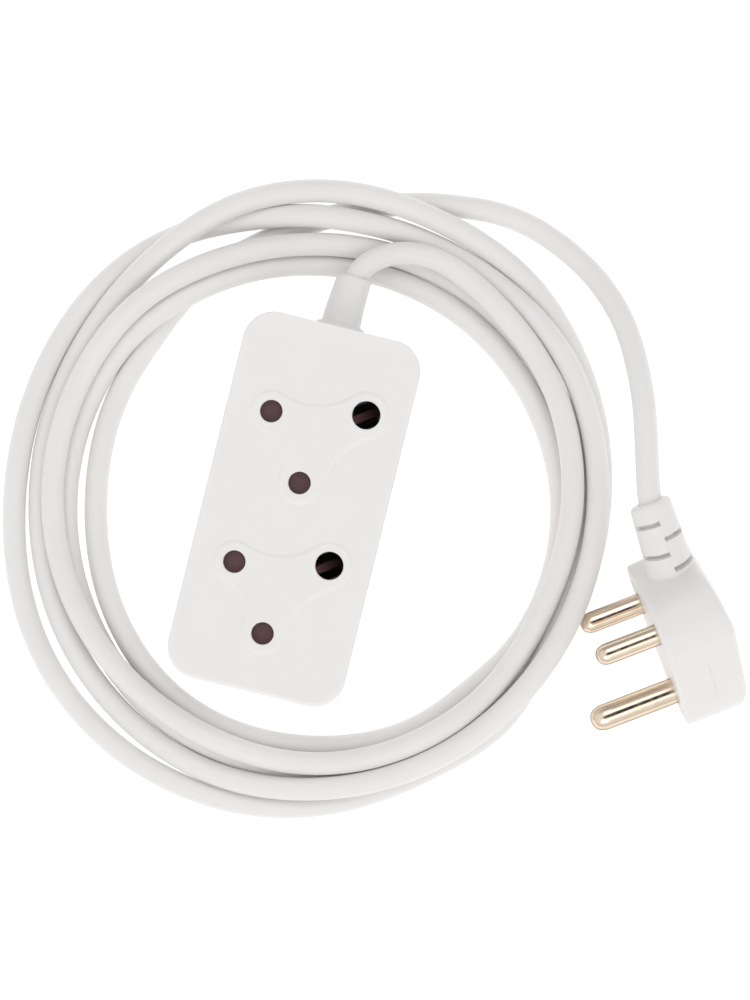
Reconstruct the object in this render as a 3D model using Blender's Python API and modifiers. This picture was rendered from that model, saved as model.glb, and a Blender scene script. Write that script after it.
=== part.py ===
"""Two-way extension cord: a round-pin trailing socket, its coiled cord and a moulded three-pin plug.

Metres, +Z up. The origin is the centre of the socket's underside, and the cord leaves towards +Y.
Each outlet has its own frame: "across" runs from neutral to live, "along" runs from them to earth.
"""

from math import atan2, cos, pi, radians, sin

import bmesh
import bpy
from mathutils import Matrix, Vector

MM = 0.001
GAP = 0.3 * MM  # running and seating clearance between separate pieces

# Socket housing
WIDTH, LENGTH, HEIGHT = 60 * MM, 124 * MM, 38 * MM
CORNER = 10.5 * MM
WALL = 2.4 * MM
SPLIT = 15.5 * MM  # height of the joint between base and cover, and of the cord's axis
CEILING = HEIGHT - 2.5 * MM
PAD_RISE = 0.6 * MM
BOSS_X, BOSS_Y, BOSS_RADIUS = 22.5 * MM, 54.5 * MM, 4.2 * MM

# Outlets, on the round-pin pattern of BS 546 and SANS 164-1
PIN_SPACING, EARTH_OFFSET = 25.4 * MM, 28.6 * MM
PIN_RADIUS, PIN_LENGTH = 3.525 * MM, 21.5 * MM
EARTH_RADIUS, EARTH_LENGTH = 4.35 * MM, 29.8 * MM
HOLE_RADIUS, EARTH_HOLE_RADIUS = 3.75 * MM, 4.7 * MM
OUTLET_TURN = radians(35.2)
OUTLETS = {"1": Vector((-7.6, 19.2, 0)) * MM, "2": Vector((-7.6, -31.8, 0)) * MM}
ALONG = Vector((cos(OUTLET_TURN), sin(OUTLET_TURN), 0))
ACROSS = Vector((sin(OUTLET_TURN), -cos(OUTLET_TURN), 0))
POLES = {
    "live": ACROSS * PIN_SPACING / 2,
    "neutral": -ACROSS * PIN_SPACING / 2,
    "earth": ALONG * EARTH_OFFSET,
}

# Inside the housing, from the floor up
BUS_LOW, BUS_TOP, BUS_WIDTH = 6.3 * MM, 7.3 * MM, 7 * MM
CLIP_TOP = 30 * MM
CARRIER_LOW, CARRIER_TOP = 30.7 * MM, 32.2 * MM
SHUTTER_LOW, SHUTTER_TOP = 32.6 * MM, 35 * MM
SHUTTER_TRAVEL = 9.5 * MM
SHUTTER_COVER = 4.4 * MM  # radius of the shutter round each pin hole
SPRING_FAR = 20 * MM

# Cord
CORD_RADIUS = 3.9 * MM
GLAND_TIP = 79.5 * MM
CORD_JOINT = 60 * MM  # where the clamped tail ends and the free cord starts, inside the gland
COIL_CENTRE = Vector((3.9, 4.1, 0)) * MM
TWELVE = radians(103.8)  # direction of the coil's twelve o'clock, measured from +X
# The coil's bundle at each clock position from twelve: inner radius, outer radius and height
COIL_INNER = [76.6, 77.2, 79.0, 81.4, 82.4, 82.6, 79.5, 78.2, 72.6, 68.2, 70.6, 76.4]
COIL_OUTER = [108.5, 107.1, 105.9, 102.0, 100.3, 103.2, 108.0, 110.3, 109.0, 103.6, 103.9, 104.9]
COIL_HEIGHT = [16.5, 18.0, 17.0, 19.5, 20.5, 19.0, 15.0, 14.5, 15.6, 14.5, 15.5, 18.0]
SOCKET_ROUTE = [(0, 60.3, 15.5), (0, 65.5, 15.5), (0, 70.5, 15.5), (0, 75.5, 15.5), (0.3, 80.2, 15.5)]
PLUG_ROUTE = [
    (34.5, 113.6, 3.9),
    (43.2, 113.5, 3.9),
    (54.0, 112.0, 4.2),
    (65.4, 107.9, 6.5),
    (75.2, 102.5, 10.0),
    (83.4, 96.2, 14.5),
    (92.3, 86.0, 21.0),
    (99.4, 72.6, 27.8),
    (104.6, 59.6, 32.5),
    (107.8, 48.0, 35.2),
    (108.8, 40.6, 36.2),
    (110.1, 35.0, 36.5),
]

# Plug. Its frame: origin between live and neutral on the pin face, +Z out of it, +Y to the cord
PLUG_ORIGIN = Vector((123.2, -7.4, 24.21)) * MM
PLUG_HEADING = radians(-55.2)  # the way its resting side runs on the floor, towards earth
PLUG_EDGE = 12.6 * MM  # radius of the body round each pin
PLUG_DEPTH = 24.6 * MM
PLUG_AXIS = -12.3 * MM  # the cord's place between the pin face and the back
CAVITY_EDGE, CAVITY_DEPTH = 8.4 * MM, 17 * MM
RELIEF_LENGTH, RELIEF_BEND = 26 * MM, 85 * MM
BORE = CORD_RADIUS + 0.4 * MM

# Places that several pieces share
BOSSES = [(x, y) for x in (-BOSS_X, BOSS_X) for y in (-BOSS_Y, BOSS_Y)]
CARRIER_POSTS = [(20 * MM, 9 * MM), (-21 * MM, -4 * MM)]
CLAMP_Y, CLAMP_SCREW_X = 52 * MM, 8 * MM
POLE_X = {pole: (OUTLETS["1"] + place).x for pole, place in POLES.items()}
TERMINALS = {
    "live": (POLE_X["live"], 38.5 * MM),
    "neutral": (POLE_X["neutral"], 39 * MM),
    "earth": (POLE_X["earth"], 46.6 * MM),
}
BUS_ENDS = {"live": (-47 * MM, 42 * MM), "neutral": (-27 * MM, 42 * MM), "earth": (-21 * MM, 50 * MM)}
BUS_SEATS = [(POLE_X[pole], y) for pole in POLES for y in (-16 * MM, 24 * MM)]
CORES = {"live": (0, -1), "neutral": (-1, 0.6), "earth": (1, 0.6)}  # places inside the sheath
PLUG_PINS = {
    "live": ((PIN_SPACING / 2, 0), PIN_RADIUS, PIN_LENGTH),
    "neutral": ((-PIN_SPACING / 2, 0), PIN_RADIUS, PIN_LENGTH),
    "earth": ((0, -EARTH_OFFSET), EARTH_RADIUS, EARTH_LENGTH),
}
PLUG_CENTRES = [PLUG_PINS[pole][0] for pole in ("live", "neutral", "earth")]

# Finishes: colour, roughness and how metallic
PLASTIC = ((0.83, 0.82, 0.81), 0.38)
RUBBERY = ((0.80, 0.79, 0.785), 0.42)
BRASS = ((0.80, 0.62, 0.34), 0.3, 1.0)
STEEL = ((0.62, 0.62, 0.64), 0.3, 1.0)
BROWN = ((0.10, 0.045, 0.042), 0.45)
IVORY = ((0.72, 0.69, 0.62), 0.5)
CORE_FINISHES = {
    "live": ((0.18, 0.07, 0.03), 0.45),
    "neutral": ((0.02, 0.09, 0.35), 0.45),
    "earth": ((0.12, 0.38, 0.06), 0.45),
}


def clear_scene():
    for obj in list(bpy.data.objects):
        bpy.data.objects.remove(obj)


def new_collection(name):
    made = bpy.data.collections.new(name)
    bpy.context.scene.collection.children.link(made)
    return made


def material(name, colour, roughness, metallic=0.0):
    made = bpy.data.materials.new(name)
    made.use_nodes = True
    shader = made.node_tree.nodes["Principled BSDF"]
    shader.inputs["Base Color"].default_value = (*colour, 1)
    shader.inputs["Roughness"].default_value = roughness
    shader.inputs["Metallic"].default_value = metallic
    return made


def add(name, data, finish=None, location=(0, 0, 0)):
    """Link new geometry as a part with its own material, or as a hidden tool if it has no finish."""
    obj = bpy.data.objects.new(name, data)
    obj.location = location
    if finish:
        parts.objects.link(obj)
        data.materials.append(material(name, *finish))
    else:
        tools.objects.link(obj)
        obj.hide_render = True
        obj.display_type = "WIRE"
    return obj


def mesh_from(bm, name):
    bmesh.ops.recalc_face_normals(bm, faces=bm.faces)
    mesh = bpy.data.meshes.new(name)
    bm.to_mesh(mesh)
    bm.free()
    mesh.shade_smooth()
    mesh.set_sharp_from_angle(angle=radians(35))
    return mesh


def prism(name, outline, low, high, finish=None, location=(0, 0, 0)):
    """A flat outline in X and Y, extruded from low to high."""
    bm = bmesh.new()
    face = bm.faces.new([bm.verts.new((x, y, low)) for x, y in outline])
    top = bmesh.ops.extrude_face_region(bm, geom=[face])["geom"]
    raised = [item for item in top if isinstance(item, bmesh.types.BMVert)]
    bmesh.ops.translate(bm, verts=raised, vec=(0, 0, high - low))
    return add(name, mesh_from(bm, name), finish, location)


def block(name, centre, size, finish=None):
    bm = bmesh.new()
    bmesh.ops.create_cube(bm, size=1)
    bmesh.ops.scale(bm, verts=bm.verts, vec=size)
    return add(name, mesh_from(bm, name), finish, centre)


def rod(name, place, radius, low, high, finish=None, sides=20):
    bm = bmesh.new()
    bmesh.ops.create_cone(
        bm, cap_ends=True, segments=sides, radius1=radius, radius2=radius, depth=high - low
    )
    bmesh.ops.translate(bm, verts=bm.verts, vec=(0, 0, (low + high) / 2))
    return add(name, mesh_from(bm, name), finish, (place[0], place[1], 0))


def turned(name, profile, finish=None, location=(0, 0, 0), sides=24):
    """A profile of (radius, height) from top to bottom, turned about Z. Its ends lie on the axis,
    or it is a closed loop round a bore."""
    bm = bmesh.new()
    points = [bm.verts.new((radius, 0, height)) for radius, height in profile]
    for first, second in zip(points, points[1:]):
        bm.edges.new((first, second))
    if profile[0][0] > 0:
        bm.edges.new((points[-1], points[0]))
    mesh = bpy.data.meshes.new(name)
    bm.to_mesh(mesh)
    bm.free()
    obj = add(name, mesh, finish, location)
    screw = obj.modifiers.new("turn", "SCREW")
    screw.steps = sides
    screw.render_steps = sides
    screw.use_merge_vertices = True
    screw.merge_threshold = 1e-6
    return obj


def tube(name, points, radius, finish, resolution=2):
    """A round cord or wire along the points, with closed ends."""
    curve = bpy.data.curves.new(name, "CURVE")
    curve.dimensions = "3D"
    curve.bevel_depth = radius
    curve.bevel_resolution = resolution
    curve.use_fill_caps = True
    spline = curve.splines.new("POLY")
    spline.points.add(len(points) - 1)
    for point, place in zip(spline.points, points):
        point.co = (*place, 1)
    return add(name, curve, finish)


def combine(obj, operation, *others):
    for other in others:
        step = obj.modifiers.new(other.name, "BOOLEAN")
        step.operation = operation
        step.object = other


def soften(obj, width, low, high, segments=3):
    """Round the edges whose two ends both lie between two heights of the mesh."""
    bm = bmesh.new()
    bm.from_mesh(obj.data)
    weight = bm.edges.layers.float.new("bevel_weight_edge")
    for edge in bm.edges:
        edge[weight] = float(all(low <= vert.co.z <= high for vert in edge.verts))
    bm.to_mesh(obj.data)
    bm.free()
    bevel = obj.modifiers.new("soften", "BEVEL")
    bevel.limit_method = "WEIGHT"
    bevel.width = width
    bevel.segments = segments


def arc(centre, radius, start, end, steps):
    turns = [start + (end - start) * step / steps for step in range(steps + 1)]
    return [(centre[0] + radius * cos(turn), centre[1] + radius * sin(turn)) for turn in turns]


def rounded_rectangle(width, length, radius, steps=6):
    x, y = width / 2 - radius, length / 2 - radius
    outline = []
    for quarter, centre in enumerate([(x, y), (-x, y), (-x, -y), (x, -y)]):
        outline += arc(centre, radius, quarter * pi / 2, (quarter + 1) * pi / 2, steps)
    return outline


def belt(centres, radius, steps=8):
    """The outline of a belt round equal circles, given anticlockwise."""
    outline = []
    for index, centre in enumerate(centres):
        before, after = centres[index - 1], centres[(index + 1) % len(centres)]
        start = atan2(centre[1] - before[1], centre[0] - before[0]) - pi / 2
        end = atan2(after[1] - centre[1], after[0] - centre[0]) - pi / 2
        outline += arc(centre, radius, start, start + (end - start) % (2 * pi), steps)
    return outline


def lobed_pad(centres, radii, waists):
    """Round lobes, given anticlockwise, joined by hollow arcs that leave each waist between centres."""
    hollows = []
    for index, centre in enumerate(centres):
        after = centres[(index + 1) % 3]
        grow, grow_after = radii[index], radii[(index + 1) % 3]
        span = (after - centre).length
        ahead = (after - centre) / span
        outward = Vector((ahead.y, -ahead.x, 0))
        hollow = span / 2
        for _ in range(40):
            near, far = grow + hollow, grow_after + hollow
            reach = (span * span + near * near - far * far) / (2 * span)
            offset = (near * near - reach * reach) ** 0.5
            hollow += 2 * (waists[index] - offset + hollow)
        hollows.append((centre + ahead * reach + outward * offset, hollow))
    outline = []
    for index, centre in enumerate(centres):
        (behind, _), (beyond, hollow) = hollows[index - 1], hollows[index]
        start = atan2(*(behind - centre).yx)
        end = atan2(*(beyond - centre).yx)
        outline += arc(centre, radii[index], start, start + (end - start) % (2 * pi), 8)
        after = centres[(index + 1) % 3]
        start = atan2(*(centre - beyond).yx)
        end = atan2(*(after - beyond).yx)
        outline += arc(beyond, hollow, start, start - (start - end) % (2 * pi), 8)[1:-1]
    return outline


def smooth_route(route, step):
    """Points at equal steps along a Catmull-Rom curve through the route."""
    places = [Vector(place) for place in route]
    places = [2 * places[0] - places[1], *places, 2 * places[-1] - places[-2]]
    fine = []
    for p0, p1, p2, p3 in zip(places, places[1:], places[2:], places[3:]):
        for part in range(12):
            t = part / 12
            bend = (2 * p0 - 5 * p1 + 4 * p2 - p3) * t * t + (3 * p1 - p0 - 3 * p2 + p3) * t**3
            fine.append(p1 + ((p2 - p0) * t + bend) / 2)
    fine.append(places[-2])
    spaced, walked = [fine[0]], 0
    for first, second in zip(fine, fine[1:]):
        walked += (second - first).length
        if walked >= step:
            spaced.append(second)
            walked = 0
    spaced[-1] = fine[-1]
    return spaced


def outlet_place(outlet, across=0.0, along=0.0, height=0.0):
    return OUTLETS[outlet] + ACROSS * across + ALONG * along + Vector((0, 0, height))


def outlet_matrix(outlet):
    """Outlet axes as X across, Y along, Z down into the socket, at the face's level."""
    turn = Matrix((ACROSS, ALONG, Vector((0, 0, 1)))).transposed().to_4x4()
    return Matrix.Translation(OUTLETS[outlet]) @ turn


def add_top_cover():
    shell = prism("top_cover", rounded_rectangle(WIDTH, LENGTH, CORNER), SPLIT + GAP / 2, HEIGHT, PLASTIC)
    soften(shell, 2.4 * MM, HEIGHT - MM, HEIGHT + MM)
    inside = rounded_rectangle(WIDTH - 2 * WALL, LENGTH - 2 * WALL, CORNER - WALL)
    combine(shell, "DIFFERENCE", prism("cover_inside", inside, 0, CEILING))
    for index, (x, y) in enumerate(BOSSES):
        boss = rod(f"cover_boss_{index}", (x, y), BOSS_RADIUS, SPLIT + GAP / 2, CEILING + MM)
        pilot = rod(f"cover_pilot_{index}", (x, y), 1.9 * MM, 0, 28.5 * MM, sides=12)
        combine(shell, "UNION", boss)
        combine(shell, "DIFFERENCE", pilot)
    for index, place in enumerate(CARRIER_POSTS):
        post = rod(f"cover_post_{index}", place, 3 * MM, CARRIER_TOP + GAP, CEILING + MM, sides=12)
        pilot = rod(f"post_pilot_{index}", place, 1.2 * MM, 0, CEILING + MM, sides=12)
        combine(shell, "UNION", post)
        combine(shell, "DIFFERENCE", pilot)
    for outlet in OUTLETS:
        centres = [outlet_place(outlet) + POLES[pole] for pole in ("live", "earth", "neutral")]
        radii = [6.6 * MM, 7.4 * MM, 6.6 * MM]
        outline = lobed_pad(centres, radii, [3 * MM, 2.2 * MM, 2.2 * MM])
        pad = prism(f"pad_{outlet}", outline, HEIGHT - MM, HEIGHT + PAD_RISE)
        stop_centre = outlet_place(outlet, 0, -SPRING_FAR - 0.9 * MM, (SHUTTER_LOW + CEILING + MM) / 2)
        stop = block(f"spring_stop_{outlet}", stop_centre, (1.2 * MM, 6 * MM, CEILING + MM - SHUTTER_LOW))
        stop.rotation_euler.z = OUTLET_TURN
        combine(shell, "UNION", pad, stop)
        for pole, place in POLES.items():
            radius = EARTH_HOLE_RADIUS if pole == "earth" else HOLE_RADIUS
            centre = OUTLETS[outlet] + place
            hole = rod(f"{pole}_hole_{outlet}", centre, radius, CEILING - MM, 41 * MM, sides=28)
            combine(shell, "DIFFERENCE", hole)
    combine(shell, "DIFFERENCE", gland_notch)


def add_base_shell():
    shell = prism("base_shell", rounded_rectangle(WIDTH, LENGTH, CORNER), 0, SPLIT - GAP / 2, PLASTIC)
    soften(shell, 1.2 * MM, -MM, MM, 2)
    inside = rounded_rectangle(WIDTH - 2 * WALL, LENGTH - 2 * WALL, CORNER - WALL)
    combine(shell, "DIFFERENCE", prism("base_inside", inside, 2.5 * MM, SPLIT + MM))
    for index, (x, y) in enumerate(BOSSES):
        boss = rod(f"base_boss_{index}", (x, y), BOSS_RADIUS, MM, SPLIT - GAP / 2)
        bore = rod(f"screw_bore_{index}", (x, y), 1.9 * MM, -MM, 20 * MM, sides=12)
        recess = rod(f"head_recess_{index}", (x, y), 3.4 * MM, -MM, 3.5 * MM)
        combine(shell, "UNION", boss)
        combine(shell, "DIFFERENCE", bore, recess)
    for index, (x, y) in enumerate(BUS_SEATS):
        seat = block(f"bus_seat_{index}", (x, y, 4 * MM), (6 * MM, 4 * MM, 4 * MM))
        combine(shell, "UNION", seat)
    for side in (-1, 1):
        place = (side * CLAMP_SCREW_X, CLAMP_Y)
        post = rod(f"clamp_post_{side}", place, 2.9 * MM, MM, 14.8 * MM, sides=16)
        bore = rod(f"clamp_bore_{side}", place, 1.7 * MM, 6 * MM, 20 * MM, sides=12)
        combine(shell, "UNION", post)
        combine(shell, "DIFFERENCE", bore)
    combine(shell, "DIFFERENCE", gland_notch)


def add_screw(name, place, head_radius, shank_radius, head, tip, under):
    """A pan-head screw: head from head to under, shank from there to tip, either way up."""
    length, head_depth = abs(tip - head), abs(head - under)
    profile = [
        (0, 0),
        (head_radius * 0.75, 0),
        (head_radius, -head_depth * 0.45),
        (head_radius, -head_depth),
        (shank_radius, -head_depth),
        (shank_radius, 1.5 * MM - length),
        (0, -length),
    ]
    screw = turned(name, profile, STEEL, (place[0], place[1], head), sides=16)
    screw.rotation_euler.x = 0 if head > under else pi


def add_screws():
    for index, place in enumerate(BOSSES, 1):
        add_screw(f"housing_screw_{index}", place, 3 * MM, 1.55 * MM, MM, 26.5 * MM, 3.2 * MM)
    for index, place in enumerate(CARRIER_POSTS, 1):
        low = CARRIER_LOW - GAP
        add_screw(f"carrier_screw_{index}", place, 2.3 * MM, 0.9 * MM, low - 1.4 * MM, 35 * MM, low)
    for index, side in enumerate((-1, 1), 1):
        place = (side * CLAMP_SCREW_X, CLAMP_Y)
        add_screw(f"clamp_screw_{index}", place, 2.6 * MM, 1.4 * MM, 24.4 * MM, 8 * MM, 22.6 * MM)
    for pole, place in TERMINALS.items():
        top = BUS_TOP + GAP
        add_screw(f"{pole}_terminal_screw", place, 2.7 * MM, 1.4 * MM, top + 2 * MM, 3.4 * MM, top)


def add_buses():
    for pole, (low, high) in BUS_ENDS.items():
        x = (OUTLETS["1"] + POLES[pole]).x
        centre = (x, (low + high) / 2, (BUS_LOW + BUS_TOP) / 2)
        bus = block(f"{pole}_bus", centre, (BUS_WIDTH, high - low, BUS_TOP - BUS_LOW), BRASS)
        combine(bus, "DIFFERENCE", rod(f"{pole}_bus_hole", TERMINALS[pole], 1.7 * MM, 0, 20 * MM, sides=12))


def add_contact(outlet, pole):
    """A sprung clip: two leaves that rise from a foot on the bus, pinch the pin and flare at the top."""
    radius = EARTH_RADIUS if pole == "earth" else PIN_RADIUS
    thick = 0.8 * MM
    foot = BUS_TOP + GAP
    inner = [
        (radius + 0.7 * MM, foot + thick),
        (radius + 0.7 * MM, 19 * MM),
        (radius - 0.2 * MM, 26 * MM),
        (radius + 0.7 * MM, CLIP_TOP),
    ]
    outer = [(inner[0][0] + thick, foot)] + [(x + thick, z) for x, z in inner[1:]]
    right = outer + inner[::-1]
    outline = right + [(-x, z) for x, z in right[::-1]]
    half = 3.5 * MM
    clip = prism(f"{pole}_contact_{outlet}", outline, -half, half, BRASS)
    turn = Matrix((ACROSS, Vector((0, 0, 1)), -ALONG)).transposed().to_4x4()
    clip.matrix_world = Matrix.Translation(OUTLETS[outlet] + POLES[pole]) @ turn


def add_carrier():
    """The plate that holds both shutters up against the cover."""
    outline = rounded_rectangle(53.6 * MM, 94 * MM, 4 * MM, 3)
    outline = [(x, y - 2.2 * MM) for x, y in outline]
    plate = prism("shutter_carrier", outline, CARRIER_LOW, CARRIER_TOP, IVORY)
    for outlet in OUTLETS:
        for pole in ("live", "neutral"):
            place = OUTLETS[outlet] + POLES[pole]
            hole = rod(f"carrier_{pole}_{outlet}", place, 4 * MM, 20 * MM, 40 * MM, sides=16)
            combine(plate, "DIFFERENCE", hole)
        well = rod(f"carrier_earth_{outlet}", OUTLETS[outlet] + POLES["earth"], 5.2 * MM, 20 * MM, 40 * MM)
        slot_centre = outlet_place(outlet, 0, 21.4 * MM, 30 * MM)
        slot = block(f"carrier_slot_{outlet}", slot_centre, (25.6 * MM, 3.8 * MM, 20 * MM))
        slot.rotation_euler.z = OUTLET_TURN
        combine(plate, "DIFFERENCE", well, slot)
    for index, place in enumerate(CARRIER_POSTS):
        hole = rod(f"carrier_hole_{index}", place, 1.3 * MM, 20 * MM, 40 * MM, sides=12)
        combine(plate, "DIFFERENCE", hole)


def add_shutter(outlet):
    """A T-shaped slide: its bar closes live and neutral, and the earth pin drives its sloping blade."""
    slide = bpy.data.objects.new(f"shutter_{outlet}_slide", None)
    parts.objects.link(slide)
    slide.matrix_world = outlet_matrix(outlet)
    half = PIN_SPACING / 2
    bar_outline = arc((half, 0), SHUTTER_COVER, -pi / 2, pi / 2, 8)
    bar_outline += arc((-half, 0), SHUTTER_COVER, pi / 2, 3 * pi / 2, 8)
    bar = prism(f"shutter_{outlet}", bar_outline, SHUTTER_LOW, SHUTTER_TOP, BROWN)
    side_view = [
        (0, SHUTTER_LOW + 0.2 * MM),
        (19 * MM, SHUTTER_LOW + 0.2 * MM),
        (27 * MM, 22.5 * MM),
        (33.4 * MM, 22.5 * MM),
        (33.4 * MM, 25 * MM),
        (23.8 * MM, SHUTTER_TOP - 0.2 * MM),
        (0, SHUTTER_TOP - 0.2 * MM),
    ]
    blade = prism(f"shutter_blade_{outlet}", side_view, -1.3 * MM, 1.3 * MM)
    stand_up = Matrix(((0, 0, 1), (1, 0, 0), (0, 1, 0))).to_4x4()
    blade.matrix_world = outlet_matrix(outlet) @ stand_up
    bar.parent = slide
    combine(bar, "UNION", blade)


def add_shutter_spring(outlet):
    turns, across, start = 6, 1.25 * MM, SHUTTER_COVER + 0.6 * MM
    height = (CARRIER_TOP + CEILING) / 2
    length = SPRING_FAR - start - GAP
    points = []
    for step in range(turns * 8 + 1):
        turn = 2 * pi * step / 8
        back = start + length * step / (turns * 8)
        points.append(outlet_place(outlet, across * cos(turn), -back, height + across * sin(turn)))
    tube(f"shutter_spring_{outlet}", points, 0.22 * MM, STEEL, 1)


def add_gland():
    """Collar and tapered sleeve round the cord, with a flange held inside the housing's end wall."""
    wall_in, wall_out = LENGTH / 2 - WALL, LENGTH / 2
    profile = [
        (BORE, 0),
        (5.5 * MM, 0),
        (5.8 * MM, -0.6 * MM),
        (6.2 * MM, wall_out + 1.6 * MM - GLAND_TIP),
        (7.8 * MM, wall_out + 1.6 * MM - GLAND_TIP),
        (7.8 * MM, wall_out + GAP - GLAND_TIP),
        (5.8 * MM, wall_out + GAP - GLAND_TIP),
        (5.8 * MM, wall_in - GAP - GLAND_TIP),
        (7.4 * MM, wall_in - GAP - GLAND_TIP),
        (7.4 * MM, wall_in - GAP - 2 * MM - GLAND_TIP),
        (BORE, wall_in - GAP - 2 * MM - GLAND_TIP),
    ]
    gland = turned("cable_gland", profile, RUBBERY, (0, GLAND_TIP, SPLIT))
    gland.rotation_euler.x = -pi / 2


def add_cord():
    start, end = Vector((0, 45.5 * MM, SPLIT)), Vector((0, CORD_JOINT, SPLIT))
    tube("cord_tail", [start, (start + end) / 2, end], CORD_RADIUS, RUBBERY)
    socket_points = [Vector(place) * MM for place in SOCKET_ROUTE]
    tube("cord_socket_lead", smooth_route(socket_points, 4 * MM), CORD_RADIUS, RUBBERY)
    plug_points = [Vector(place) * MM for place in PLUG_ROUTE]
    plug_points += [plug_matrix @ relief_place(0, RELIEF_LENGTH * part / 4) for part in (4, 3, 2, 1, 0)]
    plug_points.append(plug_matrix @ Vector((0, 8.6 * MM, PLUG_AXIS)))
    tube("cord_plug_lead", smooth_route(plug_points, 5 * MM), CORD_RADIUS, RUBBERY)


def round_the_clock(values, turn):
    """A smooth value at this many hours past twelve, from one value an hour."""
    hour = int(turn) % 12
    t = turn - int(turn)
    v0, v1, v2, v3 = (values[(hour + step) % 12] for step in (-1, 0, 1, 2))
    bend = (2 * v0 - 5 * v1 + 4 * v2 - v3) * t * t + (3 * v1 - v0 - 3 * v2 + v3) * t**3
    return v1 + ((v2 - v0) * t + bend) / 2


def add_coil():
    """The outer shape of the five turns together: a ring whose section changes round the clock."""
    stations = 48
    bm = bmesh.new()
    rings = []
    for station in range(stations):
        turn = 12 * station / stations
        inner = round_the_clock(COIL_INNER, turn) * MM
        outer = round_the_clock(COIL_OUTER, turn) * MM
        height = round_the_clock(COIL_HEIGHT, turn) * MM
        chamfer = 3 * MM
        section = [
            (inner + chamfer, 0),
            (outer - chamfer, 0),
            (outer, chamfer),
            (outer, height / 2),
            (outer - 2 * chamfer, height),
            (inner + 2 * chamfer, height),
            (inner, height / 2),
            (inner, chamfer),
        ]
        angle = TWELVE - 2 * pi * station / stations
        out = Vector((cos(angle), sin(angle), 0))
        rings.append([bm.verts.new(COIL_CENTRE + out * r + Vector((0, 0, z))) for r, z in section])
    for ring, after in zip(rings, rings[1:] + rings[:1]):
        for side in range(8):
            ahead = (side + 1) % 8
            bm.faces.new((ring[side], ring[ahead], after[ahead], after[side]))
    add("cord_coil", mesh_from(bm, "cord_coil"), RUBBERY)


def add_clamp():
    bar = block("cord_clamp", (0, CLAMP_Y, 21 * MM), (23 * MM, 7 * MM, 2.6 * MM), IVORY)
    for side in (-1, 1):
        hole = rod(f"clamp_hole_{side}", (side * CLAMP_SCREW_X, CLAMP_Y), 1.7 * MM, 0, 30 * MM, sides=12)
        combine(bar, "DIFFERENCE", hole)


def add_socket_wires():
    """The three cores, from the end of the sheath to their terminal screws."""
    reach = 3.2 * MM
    level = BUS_TOP + GAP + 1.5 * MM
    for pole, (side, lift) in CORES.items():
        x, y = TERMINALS[pole]
        if pole == "earth":
            last, before = (x - reach - MM, y, level), (x - 8 * MM, 43.3 * MM, level + 1.5 * MM)
        else:
            last, before = (x, y + reach + MM, level), (x, y + 5 * MM, level + MM)
        start = (side * 1.9 * MM, 45.1 * MM, SPLIT + lift * 1.9 * MM)
        points = [Vector(place) for place in (start, (start[0], 43.3 * MM, start[2]), before, last)]
        tube(f"{pole}_wire", points, 1.4 * MM, CORE_FINISHES[pole], 1)


def relief_place(across, travelled, depth=PLUG_AXIS):
    """A point of the plug's frame, carried along the strain relief's downward bend."""
    angle = travelled / RELIEF_BEND
    reach = RELIEF_BEND + across
    return Vector((reach * cos(angle) - RELIEF_BEND, PLUG_EDGE + GAP + reach * sin(angle), depth))


def plug_pose():
    """The plug lies on the side that joins neutral and earth."""
    tilt = atan2(PIN_SPACING / 2, EARTH_OFFSET)
    run = Vector((cos(PLUG_HEADING), sin(PLUG_HEADING), 0))
    up = Vector((0, 0, 1))
    x_axis = run * sin(tilt) + up * cos(tilt)
    y_axis = up * sin(tilt) - run * cos(tilt)
    turn = Matrix((x_axis, y_axis, run.cross(up))).transposed().to_4x4()
    return Matrix.Translation(PLUG_ORIGIN) @ turn


def add_plug_body():
    """A rounded triangle, domed at the back, hollow from the pin face for its insert."""
    body = prism("plug_body", belt(PLUG_CENTRES, PLUG_EDGE, 6), -PLUG_DEPTH, 0, RUBBERY)
    soften(body, 3.8 * MM, -PLUG_DEPTH - MM, -PLUG_DEPTH + MM)
    body.matrix_world = plug_matrix
    dome_radius = 150 * MM
    dome = rod("plug_dome", (0, 0), dome_radius, -40 * MM, 40 * MM, sides=128)
    place = Vector((0, -10 * MM, dome_radius - PLUG_DEPTH))
    dome.matrix_world = plug_matrix @ Matrix.Translation(place) @ Matrix.Rotation(pi / 2, 4, "Y")
    cavity = prism("plug_cavity", belt(PLUG_CENTRES, CAVITY_EDGE, 4), -CAVITY_DEPTH, MM)
    cavity.matrix_world = plug_matrix
    entry = rod("plug_entry", (0, 0), BORE, 4 * MM, 14 * MM, sides=16)
    level = Matrix.Translation((0, 0, PLUG_AXIS)) @ Matrix.Rotation(-pi / 2, 4, "X")
    entry.matrix_world = plug_matrix @ level
    combine(body, "INTERSECT", dome)
    combine(body, "DIFFERENCE", cavity, entry)


def add_plug_insert():
    outline = belt(PLUG_CENTRES, CAVITY_EDGE - GAP, 4)
    insert = prism("pin_carrier", outline, -4.5 * MM, -0.4 * MM, IVORY)
    insert.matrix_world = plug_matrix
    for pole, (place, radius, _) in PLUG_PINS.items():
        hole = rod(f"{pole}_insert_hole", (0, 0), radius + GAP, -6 * MM, MM, sides=24)
        hole.matrix_world = plug_matrix @ Matrix.Translation((*place, 0))
        combine(insert, "DIFFERENCE", hole)


def add_plug_pins():
    """Round pins with domed tips and a narrower crimp barrel behind the insert."""
    for pole, (place, radius, length) in PLUG_PINS.items():
        profile = [
            (0, length),
            (radius * 0.45, length - 0.05 * radius),
            (radius * 0.8, length - 0.35 * radius),
            (radius, length - 0.95 * radius),
            (radius, -5 * MM),
            (2.5 * MM, -5 * MM),
            (2.5 * MM, -9.5 * MM),
            (0, -9.5 * MM),
        ]
        pin = turned(f"{pole}_pin", profile, BRASS)
        pin.matrix_world = plug_matrix @ Matrix.Translation((*place, 0))


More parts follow.
